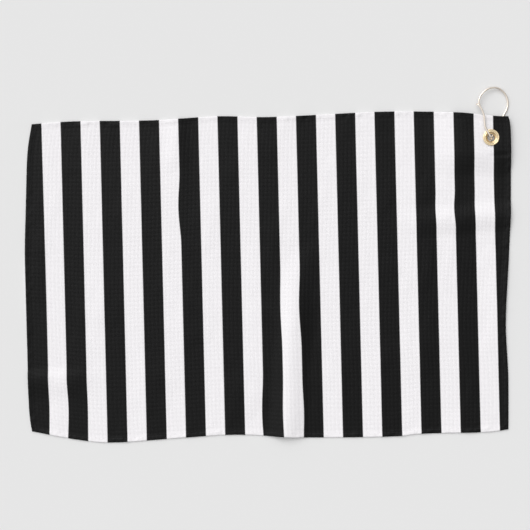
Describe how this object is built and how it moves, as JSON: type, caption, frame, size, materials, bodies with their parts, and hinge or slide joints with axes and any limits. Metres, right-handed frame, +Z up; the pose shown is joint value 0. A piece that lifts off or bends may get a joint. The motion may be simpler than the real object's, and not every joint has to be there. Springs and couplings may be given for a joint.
{
  "type": "golf towel",
  "caption": "Striped waffle-weave towel laid flat, with hemmed edges and a corner grommet that holds a sprung wire clip for hanging it on a bag.",
  "frame": {"origin": "the middle of the cloth, on the surface that the towel lies on", "axes": "+X along the long side, +Y along the short side towards the edge with the grommet, +Z up from the printed face"},
  "size_m": [0.6155, 0.4368, 0.0103],
  "materials": {
    "printed_cloth": "waffle-weave polyester, printed in black and white stripes, matte",
    "hem_cloth": "the same cloth folded over, printed, matte",
    "hem_thread": "polyester sewing thread, printed with the cloth",
    "grommet_brass": "polished brass plate",
    "clip_wire": "polished pale gold plate on spring wire"
  },
  "bodies": {
    "towel": {"towel_panel": "printed_cloth", "hem_top": "hem_cloth", "hem_bottom": "hem_cloth", "hem_left": "hem_cloth", "hem_right": "hem_cloth", "hem_thread_top": "hem_thread", "hem_thread_bottom": "hem_thread", "hem_thread_left": "hem_thread", "hem_thread_right": "hem_thread", "grommet_eyelet": "grommet_brass", "grommet_washer": "grommet_brass"},
    "clip": {"clip_bow": "clip_wire"},
    "gate": {"clip_gate": "clip_wire"}
  },
  "joints": [
    {"name": "clip_swing", "type": "hinge", "parent": "towel", "child": "clip", "pos_m": [0.2843, 0.169, 0.0052], "axis": [0, 0, 1], "range_deg": [-45, 15]},
    {"name": "gate_flex", "type": "hinge", "parent": "clip", "child": "gate", "pos_m": [0.2845, 0.1671, 0.0052], "axis": [0.9352, 0.3541, 0], "range_deg": [0, 10], "stiffness_Nm_per_rad": 0.3}
  ]
}
